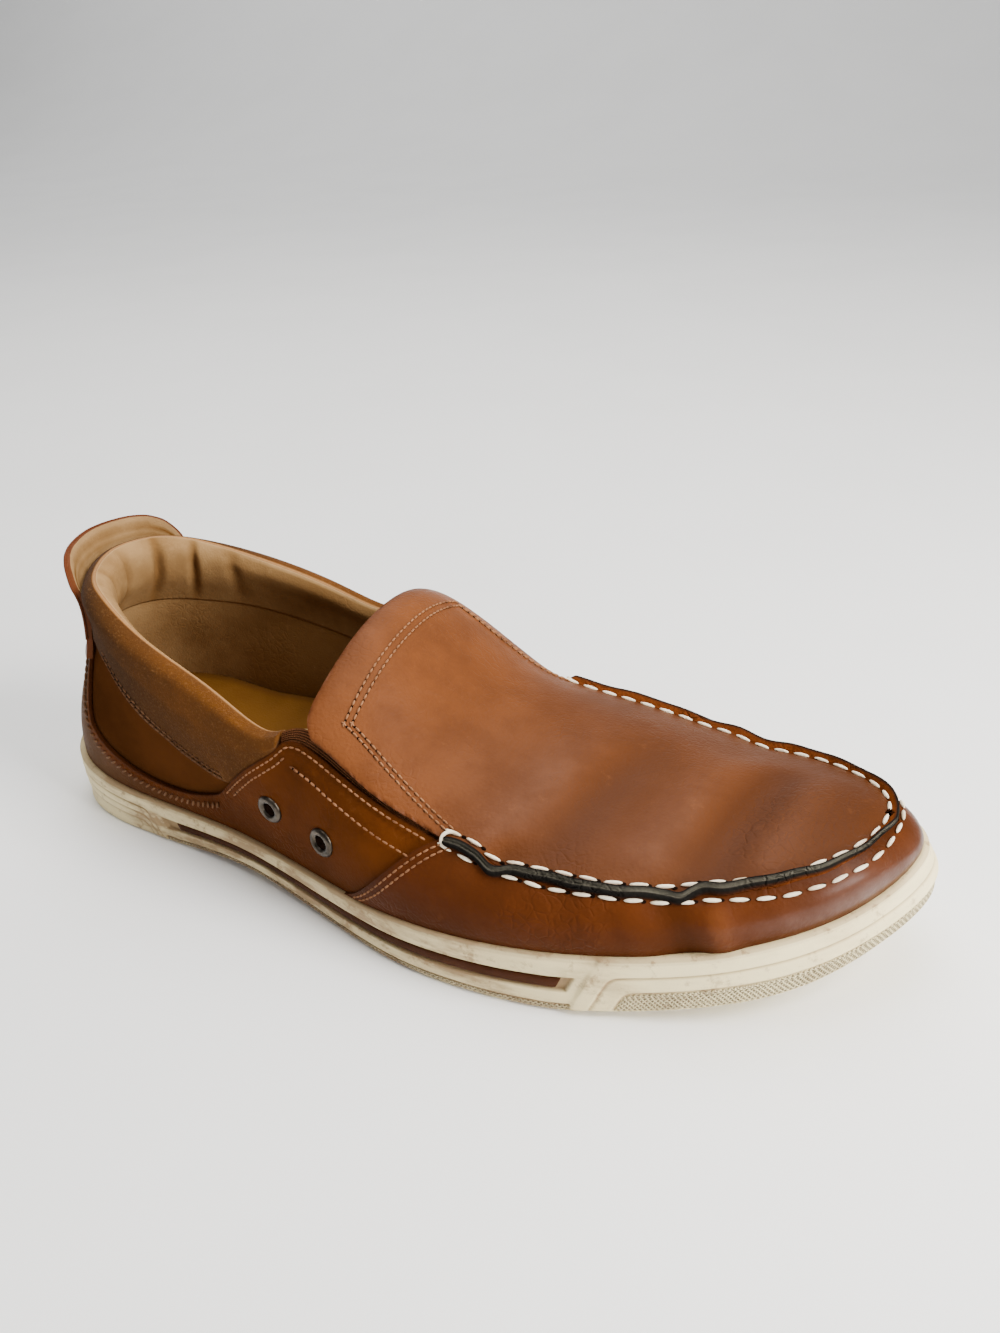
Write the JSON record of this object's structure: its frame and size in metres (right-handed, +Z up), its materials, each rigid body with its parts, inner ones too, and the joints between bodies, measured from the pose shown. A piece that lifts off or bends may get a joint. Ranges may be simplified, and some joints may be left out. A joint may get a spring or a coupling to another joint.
{
  "type": "loafer",
  "caption": "Slip-on moc-toe loafer for the right foot: hollow leather upper with padded collar and elastic gores on a cream cupsole.",
  "frame": {"origin": "on the floor, under the middle of the heel seat, where the heel of the sole rests", "axes": "+X from heel to toe, +Y to the medial (inner) side, +Z up"},
  "size_m": [0.2993, 0.1105, 0.0955],
  "materials": {
    "rubber_cream": "matt cream, scuffed",
    "stripe_brown": "matt brown",
    "lining_camel": "soft matt lining",
    "leather_dark": "smooth, dark brown",
    "leather_brown": "smooth, soft sheen",
    "leather_tan": "smooth, soft sheen",
    "seam_black": "raw dark edges",
    "elastic_brown": "ribbed elastic",
    "suede_tan": "suede",
    "metal_gunmetal": "dark antique metal"
  },
  "bodies": {
    "root": {"outsole": "rubber_cream", "sole_stripe_lateral": "stripe_brown", "sole_stripe_medial": "stripe_brown", "insole": "lining_camel", "upper": "leather_dark", "vamp": "leather_brown", "quarter_foxing": "leather_brown", "apron": "leather_tan", "moc_seam": "seam_black", "gore_lateral": "elastic_brown", "gore_medial": "elastic_brown", "collar": "suede_tan", "heel_tab": "leather_brown", "eyelet_lateral_rear": "metal_gunmetal", "eyelet_lateral_front": "metal_gunmetal", "eyelet_medial_rear": "metal_gunmetal", "eyelet_medial_front": "metal_gunmetal"}
  },
  "joints": []
}
